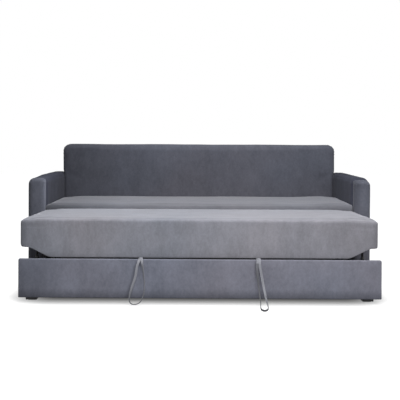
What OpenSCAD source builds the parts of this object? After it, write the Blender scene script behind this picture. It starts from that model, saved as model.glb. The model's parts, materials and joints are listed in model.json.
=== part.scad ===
// Sofa bed: a fixed upholstered sofa, and a trundle on castors whose mattress is lifted to seat height.
// The pose is the photographed one: trundle rolled out, front mattress raised.
// Millimetres, +Z up, +Y to the back, origin on the floor at the middle of the outline.

/* [Sofa] */
// Overall width over both arms
overall_w = 2200; // [1900:10:2500]
// Depth of the sofa from the arm fronts to the back
sofa_d = 840; // [800:5:900]
// Height of the arms
arm_h = 650; // [600:5:740]
// Thickness of one arm
arm_t = 110; // [104:2:150]
// Rounding of the long top edges of an arm
arm_round = 38; // [20:1:42]
// Height of the backrest
back_h = 855; // [780:5:950]
// Thickness of the backrest
back_t = 120; // [115:1:140]
// Rounding of the backrest's upper corners
back_round = 50; // [30:1:70]
// Height of the feet, and of the cloth above the floor
foot_h = 30; // [26:1:34]

/* [Rear seat] */
// Height of the rear seat
seat_top = 471; // [460:1:500]
// Thickness of the rear seat cushion
seat_pad_t = 140; // [120:1:150]
// Height of the seat rails
seat_rail_h = 45; // [40:1:50]
// Thickness of the seat rails
seat_rail_t = 22; // [18:1:26]
// Number of slats under the rear seat
seat_slat_count = 14; // [10:1:16]

/* [Front mattress] */
// Height of the raised front mattress
bed_top = 447; // [440:1:455]
// Thickness of the front mattress with its frame
bed_t = 198; // [192:1:204]
// Thickness of the timber frame inside the mattress, slats included
bed_frame_t = 72; // [66:1:80]
// Height of the relief under each end of the mattress
wing_h = 50; // [46:1:54]
// Width of the flat part of that relief
wing_flat = 45; // [36:1:52]
// Width of the slanted part of that relief
wing_run = 110; // [100:1:120]
// Rounding of the mattress's top edges
bed_round = 26; // [15:1:35]
// Number of slats in the mattress frame
bed_slat_count = 14; // [10:1:16]

/* [Trundle] */
// Thickness of the front panel with its cloth
panel_t = 22; // [20:1:26]
// Height of the castors
castor_h = 60; // [56:1:62]
// Radius of a castor wheel
wheel_r = 24; // [20:1:25]
// Width of a castor wheel
wheel_w = 40; // [30:1:44]

/* [Lift] */
// Length of a lever between its two pins
lever_len = 450; // [430:2:460]
// Distance between the front and the rear levers
lever_spacing = 250; // [230:2:254]
// Height of the lowered lever's tip below its pivot
lever_dip = 22; // [18:1:24]
// Radius of the lever pins
pin_r = 5; // [4:0.5:6]

/* [Pull loops] */
// Width of the webbing
strap_w = 14; // [12:1:15]
// Thickness of the webbing
strap_t = 1.8; // [1.4:0.1:2]

/* [Hidden] */

$fn = 48;
// how far a cut runs past the surface it opens
overrun = 1;
left = -1;
right = 1;

// steps in a rounded outline corner, in a rounded edge and in a soft block's corner
arc_steps = 7;
edge_steps = 4;
corner_steps = 5;

// colours
velvet = "#6b6d78";
velvet_light = "#85868f";
timber = "#c9a877";
steel = "#26272b";
nylon = "#17181a";
webbing = "#9a9ba3";

// arms: cloth and padding over timber
arm_edge_r = 16;
arm_low_r = 8;
arm_pad_side = 16;
arm_pad_end = 20;
arm_pad_top = 22;
arm_board_t = 9;
arm_post_w = 40;
arm_post_count = 5;
inner_w = overall_w - 2 * arm_t;
arm_x = inner_w / 2;
arm_mid_x = arm_x + arm_t / 2;
arm_core_w = arm_t - 2 * arm_pad_side;

// the trundle is a little shallower than the sofa that it rolls under
stow_clear = 40;
trundle_d = sofa_d - stow_clear;
front_y = (trundle_d - sofa_d) / 2;
rear_y = front_y + sofa_d;
back_y = rear_y - back_t;

// backrest
back_edge_r = 28;
back_low_r = 8;
back_pad_front = 50;
back_pad_rear = 10;
back_pad_top = 28;
back_pad_end = 24;
back_rail_h = 40;
back_stud_w = 40;
back_stud_count = 10;
bay_panel_t = 18;

// rear seat
bay_h = seat_top - seat_pad_t - seat_rail_h;
seat_edge_r = 28;
seat_corner_r = 10;
seat_crown = 6;
seat_low_r = 6;
slat_w = 65;
slat_t = 10;
holder_wall = 5;
holder_len = 30;
holder_grip = 24;
bolt_r = 4;
bolt_head_r = 7;
bolt_head_t = 5;
bolt_len = 60;
bolt_play = 0.2;

// feet
foot_r = 22;
foot_tip_r = 19;
foot_inset = 70;

// front panel of the trundle
panel_side_gap = 4;
panel_w = inner_w - 2 * panel_side_gap;
panel_gap = 5;
panel_y = front_y - trundle_d;
panel_back_y = panel_y + panel_t;
panel_pad = 5;
panel_wrap = 3;
panel_round = 9;
panel_low_r = 4;
panel_edge_r = 4;

// front mattress
bed_side_gap = 8.5;
bed_w = inner_w - 2 * bed_side_gap;
bed_bottom = bed_top - bed_t;
panel_top = bed_bottom - panel_gap;
bed_frame_top = bed_bottom + bed_frame_t;
bed_corner_r = 34;
bed_crown = 6;
bed_low_r = 2;
bed_rear_gap = 0.4;
bed_cloth = 4;
bed_end_cloth = 20;
plank_t = 18;
bed_slat_w = 70;
bed_slat_t = 9;
inner_bearer_x = 300;

// the lift: levers turn from lift_angle above level to lower_angle below it
stow_gap = 7;
lift_drop = bed_top - bay_h + stow_gap;
lift_rise = lift_drop - lever_dip;
lift_angle = asin(lift_rise / lever_len);
lower_angle = asin(lever_dip / lever_len);
lever_sway = lever_len * (1 - cos(lift_angle));
sway_clear = 4.7;
bed_front_y = panel_back_y + lever_sway + sway_clear;
bed_rear_y = front_y - bed_rear_gap;
bed_d = bed_rear_y - bed_front_y;

// trundle chassis
rail_w = 50;
rail_h = 32;
rail_inset = 21;
tube_wall = 2;
cross_w = 25;
cross_inset = 3;
rail_x = panel_w / 2 - rail_inset - rail_w;
rail_top = castor_h + rail_h;
angle_t = 3;
angle_w = 36;
angle_leg = 55;
angle_rise = 10;
middle_tube_share = 0.6;

// castors
castor_w = 60;
castor_edge = 6;
castor_plate_t = 3;
castor_skirt = 6;
castor_round_r = 30;
castor_slot_play = 1;
castor_front_run = 100;
castor_rear_run = 60;
axle_r = 3;
axle_play = 0.05;
wheel_groove = 2;
wheel_hub_r = 9;
wheel_tread_w = 5;
castor_x = rail_x + rail_w - castor_edge - castor_w / 2;

// lift levers, their pins and the lugs under the mattress
lever_t = 5;
lever_w = 20;
lever_play = 0.5;
bracket_t = 4;
bracket_w = 28;
pivot_rise = 2;
pin_play = 0.05;
pin_head_t = 2;
pin_head_r = 8;
lug_t = 5;
lug_setback = 54;
lug_top_w = 60;
lug_top_gap = 4;
screw_r = 3;
screw_head_r = 6;
screw_head_t = 3;
screw_len = 20;
screw_spread = 20;
screw_drop = 9;
pivot_z = rail_top + pivot_rise;
tip_z = pivot_z + lift_rise;
front_tip_y = bed_front_y + lug_setback;
rear_tip_y = front_tip_y + lever_spacing;
lever_run = lever_len * cos(lift_angle);
front_pivot_y = front_tip_y + lever_run;
rear_pivot_y = rear_tip_y + lever_run;
// outer faces of the flat steel parts, from the rail inwards
front_lever_x = rail_x - bracket_t - lever_play;
front_lug_x = front_lever_x - lever_t - lever_play;
rear_lever_x = front_lug_x - pin_head_t - lever_play - lever_play;
rear_lug_x = rear_lever_x - lever_t - lever_play;

// pull loops: the webbing's centre line, from the tab down, round and back up to the tab
loop_x = 320;
tab_w = 30;
tab_d = 9;
tab_rise = 5;
tab_setback = 12;
left_route = [
    [-325, -808, 245.6], [-325, -817, 245.6], [-326, -826, 244.4], [-327, -834, 241],
    [-329, -841, 235], [-332, -846, 226], [-336, -849, 214], [-340, -851, 192], [-345, -852, 160],
    [-355, -853, 126], [-365, -854, 94], [-373, -856, 66], [-377, -858, 45], [-377, -860, 28],
    [-371, -862, 14], [-361, -863, 8.5], [-350, -863, 7.6], [-338, -862, 9], [-325, -861, 14],
    [-314, -859, 25], [-306, -857, 41], [-300, -855, 62], [-297, -853, 90], [-297, -851, 120],
    [-299, -850, 150], [-303, -849, 182], [-307, -848, 208], [-310, -846, 223],
    [-312, -841, 236], [-314, -833, 245], [-315, -825, 248.4], [-315, -817, 249],
    [-315, -808, 249]];
left_turn = [
    0, 0, 0, 0, 0, 0, 4, 8, 14, 22, 32, 46, 60, 74, 86, 90, 90, 90, 94, 104,
    116, 128, 138, 148, 156, 164, 170, 174, 178, 180, 180, 180, 180];
left_side = [0, 1, 0.15];
right_route = [
    [315, -808, 245.6], [315, -817, 245.6], [315, -826, 244.4], [315, -834, 241],
    [314, -840.5, 234.5], [312.5, -845, 225], [310, -848, 208], [311.5, -850.5, 180],
    [314, -854, 150], [317, -860, 122], [319, -871, 98], [320.5, -888, 76], [321.5, -911, 58],
    [322, -938, 42], [321, -965, 29], [319.5, -988, 18], [325.2, -999.8, 10.9], [339, -1004.7, 8],
    [352.8, -999.8, 10.9], [358.5, -988, 18], [357.5, -965, 29], [355, -938, 42], [352, -911, 58],
    [349, -889, 77], [345.5, -873, 99], [341.6, -863, 124], [336.1, -858, 152], [330.4, -855, 182],
    [326, -852.5, 208], [324.5, -849.5, 226], [324.5, -843.5, 239], [325, -835, 246],
    [325, -826, 248.8], [325, -817, 249], [325, -808, 249]];
right_turn = [
    0, 0, 0, 0, 0, 0, 6, 14, 22, 28, 33, 38, 43, 49, 58, 70, 80, 90, 100, 112, 128, 142, 152,
    158, 162, 165, 168, 171, 174, 177, 179, 180, 180, 180, 180];
right_side = [0, -0.515, 0.857];

// a block between its lowest and highest corners
module block(low, high) {
    translate(low) cube(high - low);
}

// the children on the right side, or mirrored to the left
module at_side(side) {
    mirror([side < 0 ? 1 : 0, 0, 0]) children();
}

// a plate across X: its outline has the coordinates [-y, z], and it lies inwards of x_outer
module side_plate(x_outer, t) {
    translate([x_outer, 0, 0]) rotate([90, 0, -90]) linear_extrude(t) children();
}

// a round bar along X between two x places
module bar_x(x_low, x_high, y, z, r) {
    translate([x_low, y, z]) rotate([0, 90, 0]) cylinder(h = x_high - x_low, r = r);
}

// points of a round corner
function arc(x, y, r, from, to) = [
    for (k = [0 : arc_steps])
        let (a = from + (to - from) * k / arc_steps)
        [x + r * cos(a), y + r * sin(a)]];

// outline of an upright slab seen from the front, drawn in by inset
function slab_points(w, low, high, top_r, low_r, inset) =
    let (t = max(top_r, inset), b = max(low_r, inset))
    concat(
        arc(w / 2 - t, high - t, t - inset, 0, 90),
        arc(t - w / 2, high - t, t - inset, 90, 180),
        arc(b - w / 2, low + b, b - inset, 180, 270),
        arc(w / 2 - b, low + b, b - inset, 270, 360));

// an upholstered slab with round edges, from y = 0 to y = d
module upholstered_slab(w, d, low, high, top_r, low_r, edge_r) {
    hull()
        for (k = [0 : edge_steps])
            let (a = 90 * k / edge_steps, step = edge_r * (1 - sin(a)))
            translate([0, d - edge_r + edge_r * cos(a), 0])
                rotate([90, 0, 0])
                    linear_extrude(d - 2 * edge_r + 2 * edge_r * cos(a))
                        polygon(slab_points(w, low, high, top_r, low_r, step));
}

// one ring of a soft block
function soft_ring(w, d, r, inset, z) =
    let (c = max(r - inset, r / corner_steps))
    [for (q = [0 : 3], k = [0 : corner_steps])
        let (a = 90 * q + 90 * k / corner_steps)
        [(w / 2 - inset - c) * (q == 0 || q == 3 ? 1 : -1) + c * cos(a),
         (d / 2 - inset - c) * (q < 2 ? 1 : -1) + c * sin(a),
         z]];

// a solid through equal rings, listed from the lowest to the highest
module loft(rings) {
    n = len(rings[0]);
    last = len(rings) - 1;
    polyhedron(
        points = [for (ring = rings) for (p = ring) p],
        faces = concat(
            [[for (j = [0 : n - 1]) j]],
            [for (i = [0 : last - 1], j = [0 : n - 1])
                [i * n + j, (i + 1) * n + j, (i + 1) * n + (j + 1) % n]],
            [for (i = [0 : last - 1], j = [0 : n - 1])
                [i * n + j, (i + 1) * n + (j + 1) % n, i * n + (j + 1) % n]],
            [[for (j = [0 : n - 1]) last * n + n - 1 - j]]));
}

// a crowned cushion that stands on z = 0: the crown's rings rise to the middle
crown_shares = [0.08, 0.2, 0.4, 0.65, 0.95];
module soft_block(w, d, h, corner_r, edge_r, crown, low_r) {
    edge_z = h - crown;
    run = d / 2 - edge_r;
    loft(concat(
        [soft_ring(w, d, corner_r, low_r, 0)],
        [soft_ring(w, d, corner_r, 0, low_r)],
        [for (k = [0 : edge_steps])
            let (a = 90 * k / edge_steps)
            soft_ring(w, d, corner_r, edge_r * (1 - cos(a)), edge_z - edge_r + edge_r * sin(a))],
        [for (s = crown_shares)
            soft_ring(w, d, corner_r, edge_r + run * s, edge_z + crown * (1 - pow(1 - s, 2)))]));
}

// webbing swept along a route; turn twists its width from X towards the side direction
function unit(v) = v / norm(v);
function tangent(route, i) =
    unit(route[min(i + 1, len(route) - 1)] - route[max(i - 1, 0)]);
strap_section = [
    [strap_w / 2, -strap_t / 4], [strap_w / 2, strap_t / 4],
    [(strap_w - strap_t) / 2, strap_t / 2], [(strap_t - strap_w) / 2, strap_t / 2],
    [-strap_w / 2, strap_t / 4], [-strap_w / 2, -strap_t / 4],
    [(strap_t - strap_w) / 2, -strap_t / 2], [(strap_w - strap_t) / 2, -strap_t / 2]];
function strap_ring(route, turn, side, i) =
    let (t = i == 0 || i == len(route) - 1 ? [0, i == 0 ? -1 : 1, 0] : tangent(route, i),
         lay = [cos(turn[i]), 0, 0] + side * sin(turn[i]),
         across = unit(lay - t * (lay * t)),
         face = cross(t, across))
    [for (p = strap_section) route[i] + across * p[0] + face * p[1]];
module strap(route, turn, side) {
    loft([for (i = [0 : len(route) - 1]) strap_ring(route, turn, side, i)]);
}

module arm_cover(side) {
    color(velvet)
        at_side(side)
            difference() {
                translate([arm_mid_x, front_y, 0])
                    upholstered_slab(arm_t, sofa_d, foot_h, arm_h, arm_round, arm_low_r, arm_edge_r);
                block(
                    [arm_x + arm_pad_side, front_y + arm_pad_end, foot_h - overrun],
                    [arm_x + arm_t - arm_pad_side, rear_y - arm_pad_end, arm_h - arm_pad_top]);
                seat_bolts(bolt_play);
            }
}

arm_core_d = sofa_d - 2 * arm_pad_end;
arm_core_low = front_y + arm_pad_end;
arm_core_top = arm_h - arm_pad_top;
arm_frame_x = arm_x + arm_pad_side + arm_board_t;
arm_frame_w = arm_core_w - 2 * arm_board_t;
arm_post_pitch = (arm_core_d - arm_post_w) / (arm_post_count - 1);
module arm_frame(side) {
    color(timber)
        at_side(side)
            difference() {
                translate([arm_frame_x, arm_core_low, 0]) {
                    block([0, 0, foot_h], [arm_frame_w, arm_core_d, foot_h + arm_post_w]);
                    block([0, 0, arm_core_top - arm_post_w], [arm_frame_w, arm_core_d, arm_core_top]);
                    for (k = [0 : arm_post_count - 1])
                        translate([0, k * arm_post_pitch, 0])
                            block([0, 0, foot_h], [arm_frame_w, arm_post_w, arm_core_top]);
                }
                seat_bolts(bolt_play);
            }
}

module arm_boards(side) {
    color(timber)
        at_side(side)
            difference() {
                for (x = [arm_x + arm_pad_side, arm_frame_x + arm_frame_w])
                    block(
                        [x, arm_core_low, foot_h],
                        [x + arm_board_t, arm_core_low + arm_core_d, arm_core_top]);
                seat_bolts(bolt_play);
            }
}

// bolts through a seat side rail into the second and the last but one post of the arm
module seat_bolts(play) {
    bolt_z = bay_h + seat_rail_h / 2;
    for (k = [1, arm_post_count - 2])
        bar_x(
            arm_x - seat_rail_t - overrun * (play > 0 ? 1 : 0), arm_x - seat_rail_t + bolt_len,
            arm_core_low + k * arm_post_pitch + arm_post_w / 2, bolt_z, bolt_r + play);
}

module frame_bolts() {
    bolt_z = bay_h + seat_rail_h / 2;
    color(steel)
        for (side = [left, right])
            at_side(side) {
                seat_bolts(0);
                for (k = [1, arm_post_count - 2])
                    bar_x(
                        arm_x - seat_rail_t - bolt_head_t, arm_x - seat_rail_t,
                        arm_core_low + k * arm_post_pitch + arm_post_w / 2, bolt_z, bolt_head_r);
            }
}

module feet(side) {
    color(nylon)
        at_side(side)
            for (y = [front_y + foot_inset, rear_y - foot_inset])
                translate([arm_mid_x, y, 0]) cylinder(h = foot_h, r1 = foot_tip_r, r2 = foot_r);
}

back_core_x = inner_w / 2 - back_pad_end;
back_core_y = back_y + back_pad_front;
back_core_end_y = rear_y - back_pad_rear;
back_core_top = back_h - back_pad_top;
module back_cover() {
    color(velvet)
        difference() {
            translate([0, back_y, 0])
                upholstered_slab(inner_w, back_t, bay_h, back_h, back_round, back_low_r, back_edge_r);
            block(
                [-back_core_x, back_core_y, bay_h - overrun],
                [back_core_x, back_core_end_y, back_core_top]);
        }
}

module back_rail(low) {
    color(timber)
        block([-back_core_x, back_core_y, low], [back_core_x, back_core_end_y, low + back_rail_h]);
}

module back_studs() {
    pitch = (2 * back_core_x - back_stud_w) / (back_stud_count - 1);
    color(timber)
        for (k = [0 : back_stud_count - 1])
            translate([k * pitch - back_core_x, 0, 0])
                block(
                    [0, back_core_y, bay_h + back_rail_h],
                    [back_stud_w, back_core_end_y, back_core_top - back_rail_h]);
}

module bay_rear_panel() {
    color(velvet)
        block([-arm_x, rear_y - bay_panel_t, foot_h], [arm_x, rear_y, bay_h]);
}

seat_rail_top = bay_h + seat_rail_h;
seat_front_y = front_y + seat_edge_r / 2;
module seat_front_rail() {
    color(velvet)
        block(
            [-arm_x, seat_front_y, bay_h],
            [arm_x, seat_front_y + seat_rail_t, seat_rail_top]);
}

module seat_rear_rail() {
    color(timber)
        block(
            [seat_rail_t - arm_x, back_y - seat_rail_t, bay_h],
            [arm_x - seat_rail_t, back_y, seat_rail_top]);
}

module seat_side_rail(side) {
    color(timber)
        at_side(side)
            difference() {
                block(
                    [arm_x - seat_rail_t, seat_front_y + seat_rail_t, bay_h],
                    [arm_x, back_y, seat_rail_top]);
                seat_bolts(bolt_play);
            }
}

slat_low_y = seat_front_y + seat_rail_t;
slat_high_y = back_y - seat_rail_t;
seat_slat_pitch = (inner_w - 2 * seat_rail_t) / seat_slat_count;
function seat_slat_x(k) = seat_rail_t - arm_x + seat_slat_pitch * (k + 0.5);
slat_end = holder_len - holder_grip;
module seat_slats() {
    color(timber)
        for (k = [0 : seat_slat_count - 1])
            translate([seat_slat_x(k), 0, 0])
                block(
                    [-slat_w / 2, slat_low_y + slat_end, seat_rail_top - slat_t],
                    [slat_w / 2, slat_high_y - slat_end, seat_rail_top]);
}

module slat_holders() {
    half = slat_w / 2;
    color(nylon)
        for (k = [0 : seat_slat_count - 1], y = [slat_low_y, slat_high_y - holder_len])
            translate([seat_slat_x(k), 0, 0])
                difference() {
                    block(
                        [-half - holder_wall, y, seat_rail_top - slat_t - holder_wall],
                        [half + holder_wall, y + holder_len, seat_rail_top]);
                    block(
                        [-half, slat_low_y + slat_end, seat_rail_top - slat_t],
                        [half, slat_high_y - slat_end, seat_rail_top + overrun]);
                }
}

module seat_cushion() {
    color(velvet_light)
        translate([0, (front_y + back_y) / 2, seat_rail_top])
            soft_block(
                inner_w, back_y - front_y, seat_pad_t,
                seat_corner_r, seat_edge_r, seat_crown, seat_low_r);
}

// trundle: the upholstered panel
module panel_board() {
    color(timber)
        block(
            [panel_wrap - panel_w / 2, panel_y + panel_pad, foot_h + panel_wrap],
            [panel_w / 2 - panel_wrap, panel_back_y, panel_top - panel_wrap]);
}

module panel_cover() {
    color(velvet)
        difference() {
            translate([0, panel_y, 0])
                upholstered_slab(
                    panel_w, panel_t + panel_edge_r, foot_h, panel_top,
                    panel_round, panel_low_r, panel_edge_r);
            block(
                [panel_wrap - panel_w / 2, panel_y + panel_pad, foot_h + panel_wrap],
                [panel_w / 2 - panel_wrap, panel_back_y + overrun, panel_top - panel_wrap]);
            block(
                [-panel_w / 2, panel_back_y, foot_h],
                [panel_w / 2, panel_back_y + panel_edge_r + overrun, panel_top]);
        }
}

module panel_angles() {
    color(steel)
        for (side = [left, right])
            at_side(side)
                translate([rail_x + rail_w / 2, 0, 0]) {
                    block(
                        [-angle_w / 2, panel_back_y, castor_h],
                        [angle_w / 2, panel_back_y + angle_t, rail_top + angle_rise]);
                    block(
                        [-angle_w / 2, panel_back_y, rail_top],
                        [angle_w / 2, panel_back_y + angle_leg, rail_top + angle_t]);
                }
}

// trundle chassis: square steel tubes
module tube_y(x_low, y_low, y_high) {
    difference() {
        block([x_low, y_low, castor_h], [x_low + rail_w, y_high, rail_top]);
        block(
            [x_low + tube_wall, y_low - overrun, castor_h + tube_wall],
            [x_low + rail_w - tube_wall, y_high + overrun, rail_top - tube_wall]);
    }
}

module side_rail(side) {
    color(steel)
        at_side(side) tube_y(rail_x, panel_back_y + angle_t, front_y);
}

module cross_tube(y) {
    reach = rail_x + rail_w;
    color(steel)
        difference() {
            block([-reach, y, castor_h - cross_w], [reach, y + cross_w, castor_h]);
            block(
                [-reach - overrun, y + tube_wall, castor_h - cross_w + tube_wall],
                [reach + overrun, y + cross_w - tube_wall, castor_h - tube_wall]);
        }
}

// castors under the side rails
module castor_housing(side, y) {
    half = castor_w / 2;
    slot = wheel_w / 2 + castor_slot_play;
    rim = wheel_r + castor_slot_play;
    color(nylon)
        at_side(side)
            translate([castor_x, y, 0])
                difference() {
                    union() {
                        intersection() {
                            bar_x(-half, half, 0, wheel_r, castor_round_r);
                            block(
                                [-half, -castor_round_r, castor_skirt],
                                [half, castor_round_r, castor_h - castor_plate_t]);
                        }
                        block(
                            [-half, -castor_round_r, castor_h - castor_plate_t],
                            [half, castor_round_r, castor_h]);
                        block(
                            [-half, -castor_w / 4, wheel_r],
                            [half, castor_w / 4, castor_h - castor_plate_t]);
                    }
                    bar_x(-slot, slot, 0, wheel_r, rim);
                    block([-slot, -rim, 0], [slot, rim, wheel_r]);
                    bar_x(-half - overrun, half + overrun, 0, wheel_r, axle_r + axle_play);
                }
}

castor_front_y = panel_y + castor_front_run;
castor_rear_y = front_y - castor_rear_run;
module castor_axles() {
    color(steel)
        for (side = [left, right], y = [castor_front_y, castor_rear_y])
            at_side(side)
                bar_x(castor_x - castor_w / 2, castor_x + castor_w / 2, y, wheel_r, axle_r);
}

module wheel(side, y) {
    half = wheel_w / 2;
    color(nylon)
        at_side(side)
            translate([castor_x, y, wheel_r])
                rotate([0, 90, 0])
                    difference() {
                        translate([0, 0, -half]) cylinder(h = wheel_w, r = wheel_r);
                        for (z = [-half - overrun, half - wheel_groove])
                            translate([0, 0, z])
                                difference() {
                                    cylinder(h = wheel_groove + overrun, r = wheel_r - wheel_tread_w);
                                    cylinder(h = wheel_groove + overrun, r = wheel_hub_r);
                                }
                        translate([0, 0, -half - overrun])
                            cylinder(h = wheel_w + 2 * overrun, r = axle_r + axle_play);
                    }
}

// lift: outlines of lever, bracket and lug in the [-y, z] plane
module lever(side, x_outer, pivot_y) {
    color(steel)
        at_side(side)
            side_plate(x_outer, lever_t)
                translate([-pivot_y, pivot_z])
                    rotate(lift_angle)
                        difference() {
                            union() {
                                translate([0, -lever_w / 2]) square([lever_len, lever_w]);
                                for (x = [0, lever_len])
                                    translate([x, 0]) circle(r = lever_w / 2);
                            }
                            for (x = [0, lever_len])
                                translate([x, 0]) circle(r = pin_r + pin_play);
                        }
}

module lever_brackets(side) {
    color(steel)
        at_side(side)
            for (y = [front_pivot_y, rear_pivot_y])
                side_plate(rail_x, bracket_t)
                    difference() {
                        union() {
                            translate([-y - bracket_w / 2, castor_h]) square([bracket_w, rail_h]);
                            translate([-y, pivot_z]) circle(r = lever_w / 2);
                        }
                        translate([-y, pivot_z]) circle(r = pin_r + pin_play);
                    }
}

module pivot_pins() {
    front_end_x = front_lever_x - lever_t - lever_play;
    rear_end_x = rear_lever_x - lever_t - lever_play;
    color(steel)
        for (side = [left, right])
            at_side(side) {
                bar_x(front_end_x, rail_x, front_pivot_y, pivot_z, pin_r);
                bar_x(front_end_x - pin_head_t, front_end_x, front_pivot_y, pivot_z, pin_head_r);
                bar_x(rear_end_x, rail_x, rear_pivot_y, pivot_z, pin_r);
                bar_x(rear_end_x - pin_head_t, rear_end_x, rear_pivot_y, pivot_z, pin_head_r);
                bar_x(
                    rear_lever_x + lever_play, rail_x - bracket_t,
                    rear_pivot_y, pivot_z, pin_head_r);
            }
}

lug_top = bed_frame_top - bed_slat_t - lug_top_gap;
module lug_outline(y) {
    translate([-y, 0])
        difference() {
            union() {
                polygon([
                    [-lever_w / 2, tip_z], [lever_w / 2, tip_z],
                    [lug_top_w / 2, lug_top - screw_drop - screw_head_r], [lug_top_w / 2, lug_top],
                    [-lug_top_w / 2, lug_top], [-lug_top_w / 2, lug_top - screw_drop - screw_head_r]]);
                translate([0, tip_z]) circle(r = lever_w / 2);
            }
            translate([0, tip_z]) circle(r = pin_r + pin_play);
        }
}

module lug_screw_bars(play) {
    for (place = [[front_tip_y, front_lug_x - lug_t], [rear_tip_y, rear_lug_x - lug_t]],
         along = [-screw_spread, screw_spread])
        bar_x(
            place[1] - overrun * (play > 0 ? 1 : 0), front_lug_x + screw_len - lug_t,
            place[0] + along, lug_top - screw_drop, screw_r + play);
}

module lug(side) {
    color(steel)
        at_side(side)
            difference() {
                union() {
                    side_plate(front_lug_x, lug_t) lug_outline(front_tip_y);
                    side_plate(rear_lug_x, lug_t) lug_outline(rear_tip_y);
                    block(
                        [rear_lug_x, rear_tip_y - lug_top_w / 2, lug_top - screw_drop - screw_head_r],
                        [front_lug_x, rear_tip_y + lug_top_w / 2, lug_top]);
                }
                lug_screw_bars(bolt_play);
            }
}

module lug_screws() {
    color(steel)
        for (side = [left, right])
            at_side(side) {
                lug_screw_bars(0);
                for (place = [[front_tip_y, front_lug_x - lug_t], [rear_tip_y, rear_lug_x - lug_t]],
                     along = [-screw_spread, screw_spread])
                    bar_x(
                        place[1] - screw_head_t, place[1],
                        place[0] + along, lug_top - screw_drop, screw_head_r);
            }
}

module lug_pins() {
    color(steel)
        for (side = [left, right])
            at_side(side)
                for (place = [
                        [front_tip_y, front_lug_x, front_lever_x],
                        [rear_tip_y, rear_lug_x, rear_lever_x]]) {
                    inner_x = place[1] - lug_t;
                    outer_x = place[2] + lever_play;
                    bar_x(inner_x, outer_x, place[0], tip_z, pin_r);
                    bar_x(inner_x - pin_head_t, inner_x, place[0], tip_z, pin_head_r);
                    bar_x(outer_x, outer_x + pin_head_t, place[0], tip_z, pin_head_r);
                }
}

// timber frame inside the front mattress; its underside follows the reliefs at the ends
frame_x = bed_w / 2 - bed_end_cloth;
wing_x = bed_w / 2 - wing_flat;
belly_x = wing_x - wing_run;
frame_deck = bed_frame_top - bed_slat_t;
module bed_section(top, drop) {
    wing_z = bed_bottom + wing_h - drop;
    belly_z = bed_bottom - drop;
    polygon([
        [-frame_x, top], [-frame_x, wing_z], [-wing_x, wing_z], [-belly_x, belly_z],
        [belly_x, belly_z], [wing_x, wing_z], [frame_x, wing_z], [frame_x, top]]);
}

// the bed section between two y places, with its underside lowered by drop
module bed_slice(y_low, y_high, top, drop = 0) {
    translate([0, y_high, 0])
        rotate([90, 0, 0])
            linear_extrude(y_high - y_low)
                bed_section(top, drop);
}

frame_low_y = bed_front_y + bed_cloth;
frame_high_y = bed_rear_y - bed_cloth;
module bed_plank(y) {
    color(timber) bed_slice(y, y + plank_t, frame_deck);
}

module bed_end_boards() {
    color(timber)
        for (side = [left, right])
            at_side(side)
                block(
                    [frame_x - plank_t, frame_low_y + plank_t, bed_bottom + wing_h],
                    [frame_x, frame_high_y - plank_t, frame_deck]);
}

module bed_bearers(x) {
    color(timber)
        difference() {
            intersection() {
                bed_slice(frame_low_y + plank_t, frame_high_y - plank_t, frame_deck);
                for (side = [left, right])
                    at_side(side)
                        block(
                            [x, frame_low_y, bed_bottom],
                            [x + plank_t, frame_high_y, frame_deck]);
            }
            for (side = [left, right])
                at_side(side) lug_screw_bars(bolt_play);
        }
}

module bed_slats() {
    pitch = 2 * frame_x / bed_slat_count;
    color(timber)
        for (k = [0 : bed_slat_count - 1])
            translate([pitch * (k + 0.5) - frame_x, 0, 0])
                block(
                    [-bed_slat_w / 2, frame_low_y, frame_deck],
                    [bed_slat_w / 2, frame_high_y, bed_frame_top]);
}

// the relief under one end of the mattress
module bed_relief() {
    out_x = bed_w / 2 + overrun;
    wing_z = bed_bottom + wing_h;
    low_z = bed_bottom - overrun;
    translate([0, bed_rear_y + overrun, 0])
        rotate([90, 0, 0])
            linear_extrude(bed_d + 2 * overrun)
                polygon([
                    [belly_x, bed_bottom], [wing_x, wing_z], [out_x, wing_z],
                    [out_x, low_z], [belly_x, low_z]]);
}

// the mattress: foam and velvet, hollow below where the timber frame sits
module front_mattress() {
    color(velvet_light)
        difference() {
            translate([0, (bed_front_y + bed_rear_y) / 2, bed_bottom])
                soft_block(bed_w, bed_d, bed_t, bed_corner_r, bed_round, bed_crown, bed_low_r);
            bed_slice(frame_low_y, frame_high_y, bed_frame_top, overrun);
            for (side = [left, right])
                at_side(side) bed_relief();
        }
}

module loop_tabs() {
    color(webbing)
        for (side = [left, right])
            translate([side * loop_x, 0, 0])
                block(
                    [-tab_w / 2, panel_y + tab_setback, panel_top],
                    [tab_w / 2, panel_y + tab_setback + tab_d, panel_top + tab_rise + strap_t]);
}

module pull_loop_left() {
    color(webbing) strap(left_route, left_turn, left_side);
}

module pull_loop_right() {
    color(webbing) strap(right_route, right_turn, right_side);
}

arm_cover(left);  // arm_cover_left
arm_cover(right);  // arm_cover_right
arm_frame(left);  // arm_frame_left
arm_frame(right);  // arm_frame_right
arm_boards(left);  // arm_boards_left
arm_boards(right);  // arm_boards_right
back_cover();
back_rail(back_core_top - back_rail_h);  // back_top_rail
back_rail(bay_h);  // back_bottom_rail
back_studs();
bay_rear_panel();
seat_front_rail();
seat_rear_rail();
seat_side_rail(left);  // seat_side_rail_left
seat_side_rail(right);  // seat_side_rail_right
seat_slats();
slat_holders();
seat_cushion();
frame_bolts();
feet(left);  // feet_left
feet(right);  // feet_right
panel_cover();
panel_board();
panel_angles();
side_rail(left);  // side_rail_left
side_rail(right);  // side_rail_right
cross_tube(panel_back_y + cross_inset);  // cross_tube_front
cross_tube(panel_y + trundle_d * middle_tube_share);  // cross_tube_middle
cross_tube(front_y - cross_w);  // cross_tube_rear
lever_brackets(left);  // lever_brackets_left
lever_brackets(right);  // lever_brackets_right
pivot_pins();
union() {  // castor_housings_front
    castor_housing(left, castor_front_y);
    castor_housing(right, castor_front_y);
}
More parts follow.
